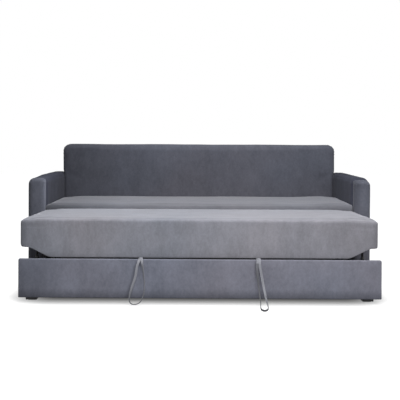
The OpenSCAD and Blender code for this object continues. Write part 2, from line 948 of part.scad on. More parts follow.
union() {  // castor_housings_rear
    castor_housing(left, castor_rear_y);
    castor_housing(right, castor_rear_y);
}
castor_axles();
wheel(left, castor_front_y);  // wheel_front_left
wheel(right, castor_front_y);  // wheel_front_right
wheel(left, castor_rear_y);  // wheel_rear_left
wheel(right, castor_rear_y);  // wheel_rear_right
loop_tabs();
pull_loop_left();
pull_loop_right();
lever(left, front_lever_x, front_pivot_y);  // front_lever_left
lever(right, front_lever_x, front_pivot_y);  // front_lever_right
lever(left, rear_lever_x, rear_pivot_y);  // rear_lever_left
lever(right, rear_lever_x, rear_pivot_y);  // rear_lever_right
bed_plank(frame_low_y);  // bed_front_plank
bed_plank(frame_high_y - plank_t);  // bed_rear_plank
bed_end_boards();
bed_bearers(front_lug_x);  // bed_outer_bearers
bed_bearers(inner_bearer_x);  // bed_inner_bearers
bed_slats();
lug(left);  // lug_left
lug(right);  // lug_right
lug_pins();
lug_screws();
front_mattress();
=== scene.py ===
"""A sofa bed in grey velvet, opened: trundle rolled out, front mattress raised."""
import json
import math

import bmesh
import bpy
from mathutils import Matrix, Vector, noise


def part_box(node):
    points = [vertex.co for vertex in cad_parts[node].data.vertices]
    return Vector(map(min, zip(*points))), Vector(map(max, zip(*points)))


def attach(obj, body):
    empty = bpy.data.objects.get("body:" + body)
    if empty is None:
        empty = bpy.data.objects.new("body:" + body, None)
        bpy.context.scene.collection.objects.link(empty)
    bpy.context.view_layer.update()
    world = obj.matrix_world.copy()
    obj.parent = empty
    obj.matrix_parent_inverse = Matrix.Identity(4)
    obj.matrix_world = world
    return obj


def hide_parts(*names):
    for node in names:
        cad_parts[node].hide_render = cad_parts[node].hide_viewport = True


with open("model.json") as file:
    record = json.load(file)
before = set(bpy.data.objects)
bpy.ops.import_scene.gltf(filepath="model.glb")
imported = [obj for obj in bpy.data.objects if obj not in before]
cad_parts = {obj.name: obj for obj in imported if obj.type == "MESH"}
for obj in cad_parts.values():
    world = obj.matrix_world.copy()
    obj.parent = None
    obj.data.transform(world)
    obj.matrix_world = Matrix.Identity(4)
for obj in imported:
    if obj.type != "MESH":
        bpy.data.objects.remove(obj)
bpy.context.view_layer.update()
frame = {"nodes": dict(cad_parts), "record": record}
nodes = frame["nodes"]

MM = 0.001
X, Y, Z = range(3)

# camera: pixels of the 400 pixel picture, then metres and degrees
IMAGE = 400
FOCAL = 801.8
MIDDLE_COLUMN = 188.4
HORIZON_ROW = 137.5
SENSOR = 36
CAMERA_PLACE = (-0.0266, -5.170, 0.9058)
CAMERA_YAW = 0.483
CAMERA_ROLL = 0.253


def make_camera():
    data = bpy.data.cameras.new("camera")
    data.sensor_width = SENSOR
    data.lens = FOCAL / IMAGE * SENSOR
    data.shift_x = (IMAGE / 2 - MIDDLE_COLUMN) / IMAGE
    data.shift_y = (HORIZON_ROW - IMAGE / 2) / IMAGE
    camera = bpy.data.objects.new("camera", data)
    turn = Matrix.Rotation(math.radians(CAMERA_YAW), 4, "Z")
    upright = Matrix.Rotation(math.radians(90), 4, "X")
    roll = Matrix.Rotation(math.radians(CAMERA_ROLL), 4, "Z")
    camera.matrix_world = Matrix.Translation(CAMERA_PLACE) @ turn @ upright @ roll
    bpy.context.collection.objects.link(camera)
    bpy.context.scene.camera = camera


make_camera()

# sockets of a node that mixes two colours
MIX_FACTOR, MIX_FIRST, MIX_SECOND, MIX_RESULT = 0, 6, 7, 2


class Nodes:
    """A short way to build a material's node tree."""

    def __init__(self, name):
        self.material = bpy.data.materials.new(name)
        self.material.use_nodes = True
        self.tree = self.material.node_tree
        self.shader = self.tree.nodes["Principled BSDF"]

    def give(self, socket, value):
        """Links a socket to another one, or sets its own value."""
        if isinstance(value, bpy.types.NodeSocket):
            self.tree.links.new(value, socket)
        else:
            socket.default_value = value

    def add(self, kind, inputs=(), **settings):
        node = self.tree.nodes.new(kind)
        for key, value in settings.items():
            setattr(node, key, value)
        for key, value in dict(inputs).items():
            self.give(node.inputs[key], value)
        return node

    def place(self, scale=(1, 1, 1)):
        """The point in the object's own metres, stretched by scale."""
        where = self.add("ShaderNodeTexCoord")
        return self.add("ShaderNodeMapping", {
            "Vector": where.outputs["Object"], "Scale": scale}).outputs["Vector"]

    def noise(self, scale, stretch=(1, 1, 1), detail=3, rough=0.5):
        return self.add("ShaderNodeTexNoise", {
            "Vector": self.place(stretch), "Scale": scale, "Detail": detail,
            "Roughness": rough}).outputs["Fac"]

    def math(self, how, first, second):
        return self.add("ShaderNodeMath", {0: first, 1: second}, operation=how).outputs[0]

    def weigh(self, *pairs):
        """The sum of values times their shares."""
        total = None
        for value, share in pairs:
            part = self.math("MULTIPLY", value, share)
            total = part if total is None else self.math("ADD", total, part)
        return total

    def spread(self, value, low, high, to_low=0.0, to_high=1.0):
        return self.add("ShaderNodeMapRange", {
            "Value": value, "From Min": low, "From Max": high,
            "To Min": to_low, "To Max": to_high}, clamp=True).outputs[0]

    def mix(self, factor, first, second):
        """A colour between first and second."""
        node = self.add("ShaderNodeMix", data_type="RGBA")
        for index, value in ((MIX_FACTOR, factor), (MIX_FIRST, first), (MIX_SECOND, second)):
            self.give(node.inputs[index], (*value, 1) if isinstance(value, tuple) else value)
        return node.outputs[MIX_RESULT]

    def along(self, axis):
        """The place along one axis of the object, in metres."""
        where = self.add("ShaderNodeTexCoord")
        return self.add("ShaderNodeSeparateXYZ", {"Vector": where.outputs["Object"]}).outputs[axis]

    def dim(self, color, share):
        """The colour times a share."""
        scaled = self.add("ShaderNodeVectorMath", {0: color, "Scale": share}, operation="SCALE")
        return scaled.outputs[0]

    def bump(self, height, distance, strength, under=None):
        node = self.add("ShaderNodeBump", {
            "Height": height, "Distance": distance, "Strength": strength})
        if under is not None:
            self.give(node.inputs["Normal"], under)
        return node.outputs["Normal"]

    def finish(self, **inputs):
        for key, value in inputs.items():
            self.give(self.shader.inputs[key.replace("_", " ")], value)
        return self.material


def shade(color, factor):
    return tuple(c * factor for c in color)


# velvet: hues, waves per metre of its layers and how they mix, depths and strengths of its relief
VELVET = (0.205, 0.207, 0.234)
COOL = (0.97, 1.0, 1.02)
WARM = (1.02, 0.995, 0.98)
BLUER = (0.97, 0.985, 1.06)
SHADED_BLUE = (0.96, 0.98, 1.16)
SHEEN_TINT = (0.87, 0.88, 0.95, 1)
HUE_WAVES = 1.2
HUE_ENDS = (0.38, 0.62)
WIDE_WAVES = 1.7
WIDE_STREAK = (1, 1, 1.4)
BRUSHED_WAVES = 10
FINE_WAVES = 46
STROKE_WAVES = 120
STROKE_STREAK = (1, 1, 0.8)
PILE_WAVES = 620
NAP_SHARES = (0.24, 0.34, 0.24, 0.18)
NAP_ENDS = (0.37, 0.63)
NAP_RANGE = 0.2
BRUSHED_RELIEF = (2.2 * MM, 0.3)
FINE_RELIEF = (0.9 * MM, 0.35)
PILE_RELIEF = (0.5 * MM, 0.5)


def velvet(name, tone, streak, sheen, painted_shading=(), tint=(1, 1, 1)):
    """Short pile: brushed patches of lighter and darker nap, drawn out along streak.

    Each entry of painted shading is an axis, two places on it and the share of the tone at the first:
    painted shade where the share is below 1, painted light above.
    """
    make = Nodes(name)
    wide = make.noise(WIDE_WAVES, WIDE_STREAK, detail=2)
    brushed = make.noise(BRUSHED_WAVES, streak, detail=4, rough=0.6)
    fine = make.noise(FINE_WAVES, streak, rough=0.65)
    strokes = make.noise(STROKE_WAVES, STROKE_STREAK, detail=2)
    pile = make.noise(PILE_WAVES, detail=2)
    nap = make.weigh(*zip((wide, brushed, fine, strokes), NAP_SHARES))
    nap = make.spread(nap, *NAP_ENDS)
    blend = make.spread(make.noise(HUE_WAVES), *HUE_ENDS)
    cool, warm = (tuple(v * t * hue * tone for v, t, hue in zip(VELVET, tint, hues))
                  for hues in (COOL, WARM))
    dark = make.mix(blend, shade(cool, 1 - NAP_RANGE), shade(warm, 1 - NAP_RANGE))
    light = make.mix(blend, shade(cool, 1 + NAP_RANGE), shade(warm, 1 + NAP_RANGE))
    color = make.mix(nap, dark, light)
    # painted shade and painted light: each entry darkens or lightens the colour towards one place
    for axis, start, end, share in painted_shading:
        color = make.dim(color, make.spread(make.along(axis), start, end, share, 1))
    relief = make.bump(brushed, *BRUSHED_RELIEF)
    relief = make.bump(fine, *FINE_RELIEF, relief)
    relief = make.bump(pile, *PILE_RELIEF, relief)
    return make.finish(
        Base_Color=color, Roughness=0.9, Specular_IOR_Level=0.0,
        Sheen_Weight=sheen, Sheen_Roughness=0.42, Sheen_Tint=SHEEN_TINT, Normal=relief)


# webbing: colours, waves per metre, and the height up to which painted shade darkens it towards the floor
TAPE_LIGHT = (0.3, 0.305, 0.34)
TAPE_DARK = (0.19, 0.194, 0.217)
TAPE_WORN = (0.18, 0.183, 0.205)
TAPE_RIBS = 900
TAPE_WAVES = 40
TAPE_STREAK = (1, 1, 0.4)
TAPE_FADE = 0.1
TAPE_LOW_SHADE = 0.4


def webbing(name, tone):
    """Woven tape: ribs across its width and a darker weft, with painted shade towards the floor."""
    make = Nodes(name)
    ribs = make.add("ShaderNodeTexVoronoi", {"Vector": make.place(), "Scale": TAPE_RIBS}).outputs[0]
    soft = make.noise(TAPE_WAVES, TAPE_STREAK)
    color = make.mix(make.spread(ribs, low=0.1, high=0.7), shade(TAPE_LIGHT, tone), shade(TAPE_DARK, tone))
    color = make.mix(make.spread(soft, low=0.3, high=0.7, to_high=0.35), color, shade(TAPE_WORN, tone))
    # painted shade: darker towards the floor
    color = make.dim(color, make.spread(make.along(Z), 0, TAPE_FADE, TAPE_LOW_SHADE, 1))
    return make.finish(
        Base_Color=color, Roughness=0.8, Specular_IOR_Level=0.1, Sheen_Weight=0.2,
        Sheen_Roughness=0.5, Normal=make.bump(ribs, distance=0.4 * MM, strength=0.6))


# the other materials: colours, plain and worn, and waves per metre
EARLY_WOOD = (0.66, 0.47, 0.27)
LATE_WOOD = (0.50, 0.31, 0.15)
DARK_FIBRE = (0.40, 0.24, 0.11)
RING_WAVES = 14
FIBRE_WAVES = 130
GRAIN_STRETCH = 0.05
COAT = (0.021, 0.021, 0.023)
COAT_WORN = (0.05, 0.05, 0.052)
COAT_PEEL_WAVES = 420
COAT_WEAR_WAVES = 16
NYLON = (0.013, 0.013, 0.015)
NYLON_WORN = (0.022, 0.022, 0.024)
NYLON_WAVES = 300


def timber(name, along):
    """Planed softwood with its grain along one axis."""
    make = Nodes(name)
    stretch = [1.0, 1.0, 1.0]
    stretch[along] = GRAIN_STRETCH
    rings = make.add("ShaderNodeTexWave", {
        "Vector": make.place(stretch), "Scale": RING_WAVES, "Distortion": 5, "Detail": 3,
        "Detail Scale": 1.6}, bands_direction="DIAGONAL").outputs["Fac"]
    fibre = make.noise(FIBRE_WAVES, stretch, detail=4, rough=0.65)
    color = make.mix(make.spread(rings, low=0.15, high=0.9), EARLY_WOOD, LATE_WOOD)
    color = make.mix(make.spread(fibre, low=0.45, high=0.75, to_high=0.4), color, DARK_FIBRE)
    return make.finish(
        Base_Color=color, Roughness=make.spread(fibre, low=0.3, high=0.7, to_low=0.55, to_high=0.72),
        Normal=make.bump(fibre, distance=0.6 * MM, strength=0.4))


def powder_steel():
    """Steel with a black powder coat."""
    make = Nodes("powder_coat")
    peel = make.noise(COAT_PEEL_WAVES, detail=2)
    worn = make.noise(COAT_WEAR_WAVES, detail=5, rough=0.65)
    color = make.mix(make.spread(worn, low=0.62, high=0.78), COAT, COAT_WORN)
    return make.finish(
        Base_Color=color, Roughness=make.spread(worn, low=0.3, high=0.7, to_low=0.36, to_high=0.5),
        Specular_IOR_Level=0.5, Normal=make.bump(peel, distance=0.3 * MM, strength=0.35))


def black_nylon():
    """Moulded black nylon."""
    make = Nodes("moulded_nylon")
    grain = make.noise(NYLON_WAVES)
    color = make.mix(make.spread(grain, low=0.35, high=0.7), NYLON, NYLON_WORN)
    return make.finish(
        Base_Color=color, Roughness=make.spread(grain, low=0.3, high=0.7, to_low=0.4, to_high=0.55),
        Normal=make.bump(grain, distance=0.2 * MM, strength=0.4))


# ways in which the nap is brushed, and what the velvets of the upright parts share
UPRIGHT = (1, 1, 0.6)
LONG = (1, 1, 0.5)
FLAT = (0.6, 1.2, 1)
STANDING = {"streak": UPRIGHT, "sheen": 0.2, "tint": BLUER}

# each piece's tone is partly painted shade and painted light: one velvet made darker on the backrest and
# the arms, more on the left arm, lighter on the seat and mattress; each piece's painted shading darkens or
# lightens it towards its ends, edges, top and foot
velvet_back = velvet("velvet_backrest", tone=0.45, painted_shading=[(X, -0.98, -0.18, 0.66)], **STANDING)
velvet_arms = {
    "left": velvet("velvet_arm_left", tone=0.53, painted_shading=[(X, -1.1, -1.03, 0.78)], **STANDING),
    "right": velvet("velvet_arm_right", tone=0.66,
                    painted_shading=[(X, 0.985, 1.045, 0.55), (Z, 0.62, 0.5, 0.84)], **STANDING)}
# painted highlight: a lighter copy of the velvet for the left arm's inner front edge
velvet_highlight = velvet("velvet_arm_highlight", tone=0.74, **STANDING)
# painted shade: a much darker copy of the velvet for the arms' inner sides and tops, lighter towards the
# front
velvet_side_shade = velvet(
    "velvet_arm_sides_shade", tone=0.2, streak=UPRIGHT, sheen=0.06, painted_shading=[(Y, 0.0, 0.55, 1.4)], tint=SHADED_BLUE)
velvet_seat = velvet(
    "velvet_seat", tone=0.68, streak=FLAT, sheen=0.45,
    painted_shading=[(X, -1.0, -0.5, 0.45), (X, 0.6, 0.1, 1.09), (Y, -0.03, 0.02, 0.66), (Y, 0.72, 0.1, 0.88)])
velvet_bed = velvet(
    "velvet_mattress", tone=1.02, streak=LONG, sheen=0.5,
    painted_shading=[(X, -1.0, -0.8, 0.74), (X, 1.0, 0.75, 0.88)])
velvet_panel = velvet(
    "velvet_panel", tone=0.84, streak=UPRIGHT, sheen=0.22,
    painted_shading=[(X, -1.0, -0.72, 0.7), (Z, 0.03, 0.085, 0.55)], tint=BLUER)
tape = webbing("woven_tape", tone=1)
# painted shade: a darker copy of the webbing for the right loop's strand turned from the light
tape_shaded = webbing("woven_tape_shaded", tone=0.6)
timber_x = timber("timber_across", X)
timber_y = timber("timber_deep", Y)
timber_z = timber("timber_upright", Z)
steel = powder_steel()
nylon = black_nylon()


def make_piece(name, verts, faces, material, smooth=True):
    """A new object from points and faces, in the frame's metres."""
    mesh = bpy.data.meshes.new(name)
    mesh.from_pydata([tuple(v) for v in verts], [], faces)
    mesh.validate()
    if smooth:
        mesh.shade_smooth()
    mesh.materials.append(material)
    piece = bpy.data.objects.new(name, mesh)
    bpy.context.collection.objects.link(piece)
    return piece


def fix_normals(piece):
    """Turns all faces of a closed piece outwards."""
    form = bmesh.new()
    form.from_mesh(piece.data)
    bmesh.ops.recalc_face_normals(form, faces=form.faces)
    form.to_mesh(piece.data)
    form.free()


# pull loops: the webbing's centre line as in the construction, in millimetres. Its width points
# across the sofa at a turn of 0 degrees and along lean at one of 90
STRAP_W = 14 * MM
STRAP_T = 1.8 * MM
STRAP_EDGE_STEPS = 5
STRAP_FACE_STEPS = 4
STRAP_SUBSTEPS = 4
LEFT_ROUTE = [
    (-325, -808, 245.6), (-325, -817, 245.6), (-326, -826, 244.4), (-327, -834, 241),
    (-329, -841, 235), (-332, -846, 226), (-336, -849, 214), (-340, -851, 192),
    (-345, -852, 160), (-355, -853, 126), (-365, -854, 94), (-373, -856, 66),
    (-377, -858, 45), (-377, -860, 28), (-371, -862, 14), (-361, -863, 8.5),
    (-350, -863, 7.6), (-338, -862, 9), (-325, -861, 14), (-314, -859, 25),
    (-306, -857, 41), (-300, -855, 62), (-297, -853, 90), (-297, -851, 120),
    (-299, -850, 150), (-303, -849, 182), (-307, -848, 208), (-310, -846, 223),
    (-312, -841, 236), (-314, -833, 245), (-315, -825, 248.4), (-315, -817, 249),
    (-315, -808, 249)]
LEFT_TURNS = [
    0, 0, 0, 0, 0, 0, 4, 8, 14, 22, 32, 46, 60, 74, 86, 90, 90, 90, 92, 96,
    100, 104, 107, 110, 114, 122, 138, 156, 172, 178, 180, 180, 180]
RIGHT_ROUTE = [
    (315, -808, 245.6), (315, -817, 245.6), (315, -826, 244.4), (315, -834, 241),
    (314, -840.5, 234.5), (312.5, -845, 225), (310, -848, 208), (311.5, -850.5, 180),
    (314, -854, 150), (317, -860, 122), (319, -871, 98), (320.5, -888, 76), (321.5, -911, 58),
    (322, -938, 42), (321, -965, 29), (319.5, -988, 18), (325.2, -999.8, 10.9),
    (339, -1004.7, 8), (352.8, -999.8, 10.9), (358.5, -988, 18), (357.5, -965, 29),
    (355, -938, 42), (352, -911, 58), (349, -889, 77), (345.5, -873, 99), (341.6, -863, 124),
    (336.1, -858, 152), (330.4, -855, 182), (326, -852.5, 208), (324.5, -849.5, 226),
    (324.5, -843.5, 239), (325, -835, 246), (325, -826, 248.8), (325, -817, 249),
    (325, -808, 249)]
RIGHT_TURNS = [
    0, 0, 0, 0, 0, 2, 20, 48, 64, 70, 73, 75, 76, 77, 79, 82, 86, 90, 100, 112, 128, 142,
    152, 158, 162, 165, 168, 171, 174, 177, 179, 180, 180, 180, 180]
LOOPS = {
    "left": {"route": LEFT_ROUTE, "turns": LEFT_TURNS, "lean": (0, 1, 0.15)},
    "right": {"route": RIGHT_ROUTE, "turns": RIGHT_TURNS, "lean": (0, -0.515, 0.857)}}
# the shares of the right loop's length between which its tape is turned from the light and gets painted
# shade, a darker copy of the webbing
SHADED_STRAND = (0.14, 0.46)


def smooth_point(a, b, c, d, t):
    """A point at share t between b and c on the smooth curve through a, b, c and d."""
    return 0.5 * ((2 * b) + (c - a) * t + (2 * a - 5 * b + 4 * c - d) * t * t
                  + (3 * b - a - 3 * c + d) * t ** 3)


def refine(values, steps):
    """The listed values with steps smooth ones from each to the next."""
    last = len(values) - 1
    fine = []
    for i in range(last):
        around = [values[max(i - 1, 0)], values[i], values[i + 1], values[min(i + 2, last)]]
        fine += [smooth_point(*around, k / steps) for k in range(steps)]
    return fine + [values[last]]


def strap_outline():
    """The section of the webbing: flat faces and rounded selvedges."""
    half_w, half_t = STRAP_W / 2, STRAP_T / 2
    edge = [(half_w - half_t + half_t * math.sin(a), half_t * math.cos(a))
            for a in (math.pi * k / STRAP_EDGE_STEPS for k in range(STRAP_EDGE_STEPS + 1))]
    flat = [((half_w - half_t) * (1 - 2 * k / STRAP_FACE_STEPS), -half_t)
            for k in range(1, STRAP_FACE_STEPS)]
    points = edge + flat
    return points + [(-u, -v) for u, v in points]


def strap_mesh(path, turns, lean):
    """Points and faces of a tape along the path."""
    outline = strap_outline()
    verts, faces = [], []
    count, last = len(outline), len(path) - 1
    for i, point in enumerate(path):
        along = (path[min(i + 1, last)] - path[max(i - 1, 0)]).normalized()
        if i in (0, last):
            along = Vector((0, -1 if i == 0 else 1, 0))
        angle = math.radians(turns[i])
        lay = Vector((math.cos(angle), 0, 0)) + lean * math.sin(angle)
        across = (lay - along * lay.dot(along)).normalized()
        face = along.cross(across)
        verts += [point + across * u + face * v for u, v in outline]
    for i in range(last):
        for j in range(count):
            k = (j + 1) % count
            faces.append((i * count + j, i * count + k, (i + 1) * count + k, (i + 1) * count + j))
    faces.append(tuple(reversed(range(count))))
    faces.append(tuple(range(last * count, (last + 1) * count)))
    return verts, faces


def make_loop(side):
    data = LOOPS[side]
    path = refine([Vector(p) * MM for p in data["route"]], STRAP_SUBSTEPS)
    turns = refine([float(t) for t in data["turns"]], STRAP_SUBSTEPS)
    verts, faces = strap_mesh(path, turns, Vector(data["lean"]))
    loop = make_piece(f"webbing_loop_{side}", verts, faces, tape)
    fix_normals(loop)
    if side == "right":
        loop.data.materials.append(tape_shaded)
        start, end = (share * len(verts) for share in SHADED_STRAND)
        for face in loop.data.polygons:
            face.material_index = 1 if start < face.index < end else 0
    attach(loop, "trundle")
    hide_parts(f"pull_loop_{side}")


for side in LOOPS:
    make_loop(side)


# soft forms
CORNER_STEPS = 6
SEAM_DEPTH = 2.2 * MM
SEAM_WIDTH = 4.5 * MM
SEAM_ROWS = (-1.2, -0.5, 0, 0.5, 1.2)


def stations(length, low_r, high_r, cell):
    """Places along a side: close together in its rounded ends, even between them."""
    arcs = [1 - math.cos(math.pi / 2 * k / CORNER_STEPS) for k in range(CORNER_STEPS)]
    middle = length - low_r - high_r
    count = max(2, round(middle / cell))
    return ([low_r * a for a in arcs]
            + [low_r + middle * k / count for k in range(count + 1)]
            + [length - high_r * a for a in reversed(arcs)])


def rounded(u, v, length, width, corners):
    """Moves a point of a rectangle into the one with rounded corners.

    Gives the moved point and its distance to the outline. corners are the radii at
    (0, 0), (length, 0), (length, width) and (0, width).
    """
    from_left, from_right, from_low, from_high = u, length - u, v, width - v
    for radius, side_u, side_v, sign_u, sign_v, base_u, base_v in (
            (corners[0], from_left, from_low, 1, 1, 0, 0),
            (corners[1], from_right, from_low, -1, 1, length, 0),
            (corners[2], from_right, from_high, -1, -1, length, width),
            (corners[3], from_left, from_high, 1, -1, 0, width)):
        if side_u < radius and side_v < radius:
            a, b = 1 - side_u / radius, 1 - side_v / radius
            x = a * math.sqrt(1 - b * b / 2)
            y = b * math.sqrt(1 - a * a / 2)
            return (base_u + sign_u * radius * (1 - x), base_v + sign_v * radius * (1 - y),
                    radius * (1 - math.hypot(x, y)))
    return u, v, min(from_left, from_right, from_low, from_high)


def fall(inset, radius):
    """How far a rounding of this radius lies below the flat at a distance from the edge."""
    near = max(radius - inset, 0)
    return radius - math.sqrt(max(radius * radius - near * near, 0))


class Slab:
    """A closed quad mesh of a padded slab with rounded corners and edges.

    thick is the axis of its thickness; corners are the radii of its outline and edges those
    of the rounding at the low and the high end of thick. Around each of the seams, which are
    depths along thick, the mesh is finer. ease(u, v, inset) is the share of the rounding there.
    Each vertex keeps its part: low, side or high.
    """

    def __init__(self, low, high, thick, corners, edges, cell, seams=(), ease=None):
        self.low, self.thick = Vector(low), thick
        self.axes = [axis for axis in (X, Y, Z) if axis != thick]
        self.corners, self.edges, self.cell = corners, edges, cell
        self.verts, self.faces, self.part = [], [], []
        size = Vector(high) - self.low
        a, b = self.axes
        self.length, self.width, self.depth = size[a], size[b], size[thick]
        grow = max(edges)
        self.us = stations(self.length, max(corners[0], corners[3], grow),
                           max(corners[1], corners[2], grow), cell)
        self.vs = stations(self.width, max(corners[0], corners[1], grow),
                           max(corners[2], corners[3], grow), cell)
        caps = [self.cap(part, radius, ease) for part, radius in zip(("low", "high"), edges)]
        self.join([self.rim(grid) for grid in caps], seams)

    def add_vertex(self, u, v, w, part):
        place = Vector(self.low)
        place[self.axes[0]] += u
        place[self.axes[1]] += v
        place[self.thick] += w
        self.verts.append(place)
        self.part.append(part)
        return len(self.verts) - 1

    def cap(self, part, radius, ease):
        """The grid of vertices at one end of thick, with its faces."""
        grid = []
        for v in self.vs:
            line = []
            for u in self.us:
                x, y, inset = rounded(u, v, self.length, self.width, self.corners)
                drop = fall(inset, radius)
                drop *= ease(x, y, inset) if ease else 1
                w = drop if part == "low" else self.depth - drop
                line.append(self.add_vertex(x, y, w, part))
            grid.append(line)
        for near, far in zip(grid, grid[1:]):
            self.faces += [(a, b, d, c) for a, b, c, d in zip(near, near[1:], far, far[1:])]
        return grid

    @staticmethod
    def rim(grid):
        """The outer vertices of a grid, in a ring."""
        return (grid[0] + [line[-1] for line in grid[1:]] + grid[-1][-2::-1]
                + [line[0] for line in grid[-2:0:-1]])

    def join(self, rims, seams):
        """The sides between the two rims, in rings."""
        depth = self.depth - sum(self.edges)
        count = max(2, round(depth / self.cell))
        levels = [self.edges[0] + depth * k / count for k in range(1, count)]
        for seam in seams:
            levels = [w for w in levels if abs(w - seam) > 2 * SEAM_WIDTH]
            levels += [seam + SEAM_WIDTH * share for share in SEAM_ROWS]
        a, b = self.axes
        bands = [rims[0]]
        for w in sorted(levels):
            ring = []
            for index in rims[0]:
                edge = self.verts[index]
                ring.append(self.add_vertex(edge[a] - self.low[a], edge[b] - self.low[b], w, "side"))
            bands.append(ring)
        bands.append(rims[1])
        count = len(rims[0])
        for low, high in zip(bands, bands[1:]):
            for j in range(count):
                k = (j + 1) % count
                self.faces.append((low[j], low[k], high[k], high[j]))

    def each(self, move):
        """Moves every vertex: move(point, part) gives the new point."""
        for i, place in enumerate(self.verts):
            self.verts[i] = move(Vector(place), self.part[i])

    def piece(self, name, material, slot="velvet"):
        made = make_piece(name, self.verts, self.faces, material)
        fix_normals(made)
        return made


def bell(x, middle, width):
    """1 at middle, falling smoothly to 0 over width on each side."""
    t = min(abs(x - middle) / width, 1)
    return (1 + math.cos(math.pi * t)) / 2


def rise(x, low, high):
    """0 below low, 1 above high, smooth between."""
    t = min(max((x - low) / (high - low), 0), 1)
    return t * t * (3 - 2 * t)


def rise_from(x, base, ends):
    """0 up to the first and 1 from the second of the ends, which are counted from base."""
    return rise(x, base + ends[0], base + ends[1])


SEED_STEPS = (7.3, 3.1, 5.7)


def wave(point, scale, seed):
    """Smooth noise from -1 to 1 at a point; scale is in waves per metre."""
    return noise.noise(Vector(point) * scale + Vector([seed * step for step in SEED_STEPS]))


def waves(point, layers):
    """The sum of layers of smooth noise, each a height, its waves per metre and its seed."""
    return sum(height * wave(point, scale, seed) for height, scale, seed in layers)


# simulation of a cover over its filling
SIM_FRAMES = 20
STIFFNESS = 12
BENDING = 0.6
CLOTH_MASS = 0.3
FIRM = 3
SOFT = 4


def inflate(piece, hold, pressure, cap):
    """Lets the cover swell under its filling, by cap at most, and not where hold says."""
    scene = bpy.context.scene
    mesh = piece.data
    start = [(v.co.copy(), v.normal.copy()) for v in mesh.vertices]
    group = piece.vertex_groups.new(name="held")
    held = [v.index for v in mesh.vertices if hold(v.co)]
    group.add(held, 1.0, "REPLACE")
    cloth = piece.modifiers.new("cover", "CLOTH")
    settings = cloth.settings
    settings.quality = 5
    settings.mass = CLOTH_MASS
    settings.tension_stiffness = STIFFNESS
    settings.compression_stiffness = STIFFNESS
    settings.shear_stiffness = STIFFNESS / 2
    settings.bending_stiffness = BENDING
    settings.use_pressure = True
    settings.uniform_pressure_force = pressure
    settings.effector_weights.gravity = 0
    settings.vertex_group_mass = "held"
    cloth.collision_settings.use_collision = False
    cloth.point_cache.frame_start = 1
    cloth.point_cache.frame_end = SIM_FRAMES
    for step in range(1, SIM_FRAMES + 1):
        scene.frame_set(step)
    final = piece.evaluated_get(bpy.context.evaluated_depsgraph_get()).data
    moved = [v.co.copy() for v in final.vertices]
    piece.modifiers.remove(cloth)
    piece.vertex_groups.remove(group)
    for vertex, (old, outward), new in zip(mesh.vertices, start, moved):
        swell = (new - old).dot(outward)
        vertex.co = old + outward * min(max(swell, 0), cap)
    scene.frame_set(1)


def apply_modifiers(piece):
    depsgraph = bpy.context.evaluated_depsgraph_get()
    depsgraph.update()
    made = bpy.data.meshes.new_from_object(piece.evaluated_get(depsgraph))
    piece.modifiers.clear()
    old = piece.data
    piece.data = made
    bpy.data.meshes.remove(old)
    made.name = piece.name


def subdivide(piece):
    """Bakes one level of subdivision into the piece's mesh."""
    modifier = piece.modifiers.new("subdivision", "SUBSURF")
    modifier.levels = 1
    modifier.render_levels = 1
    apply_modifiers(piece)


def edit(piece, move):
    """Moves each vertex of a finished mesh: move(point, normal) gives the new point."""
    mesh = piece.data
    normals = [v.normal.copy() for v in mesh.vertices]
    for vertex, normal in zip(mesh.vertices, normals):
        vertex.co = move(vertex.co.copy(), normal)
    mesh.update()


def paint(piece, material, where):
    """Gives one more material to the faces that where picks by their centre and normal."""
    piece.data.materials.append(material)
    index = len(piece.data.materials) - 1
    for face in piece.data.polygons:
        if where(face.center, face.normal):
            face.material_index = index


def span(node):
    """The low and the high corner of a node's box."""
    low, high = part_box(node)
    return Vector(low), Vector(high)


# shares of the normal from which a face begins to count, and fully counts, as front
FACING = (0.3, 0.9)
# puckers in the front corners of the covers, counted over a whole turn
PUCKERS = 15
PUCKER_BEHIND = 12 * MM
# how far the arms reach below their solids and the front panel behind its own
UNDER = 0.6 * MM


def pucker(point, x, z, height, sway):
    """The height of puckers that run round a centre, at x and z from it."""
    return height * math.sin(PUCKERS * math.atan2(z, x) + waves(point, [sway]))


# arms: radii, mesh and seam
ARM_OUTER = 40 * MM
ARM_INNER = 28 * MM
ARM_FRONT = 28 * MM
ARM_REAR = 16 * MM
ARM_LOW = 8 * MM
ARM_CELL = 16 * MM
ARM_SEAM = 31 * MM
# the foot that is held, the swelling, the waves and the height over which they begin
ARM_HELD = 4 * MM
ARM_SWELL = 3.5 * MM
ARM_WAVES = ((1.3 * MM, 5, 1), (0.7 * MM, 16, 2))
ARM_FOOT = 40 * MM
# the puckers run round a centre this far below the top
ARM_ROUND = 60 * MM
ARM_PUCKER = 1.5 * MM
ARM_PUCKER_WIDTH = 24 * MM
ARM_PUCKER_ENDS = (-12 * MM, 22 * MM)
ARM_PUCKER_WAVE = (2, 14, 15)
# the top sinks towards the front
TOP_DROP = {"left": 9 * MM, "right": 17 * MM}
DROP_REACH = {"left": 450 * MM, "right": 90 * MM}
# the inner face bulges from below the seat's top up, but not close to the backrest
ARM_BULGE = 4 * MM
INWARD = (0.2, 0.9)
BULGE_FROM_SEAT = (-140 * MM, -70 * MM)
BULGE_FROM_REAR = (-120 * MM, -70 * MM)
BULGE_FROM_FRONT = (-5 * MM, 40 * MM)
# the front end is cut back on the inner side
FRONT_INSET = {"left": 1.5 * MM, "right": 6 * MM}
INSET_FADE = (20 * MM, 60 * MM)
# the width of the painted highlight stripe, and how far a face of a side or of the top is turned to take
# painted shade
ARM_STRIPE = 11 * MM
SIDE_TURN = 0.3
TOP_TURN = 0.5


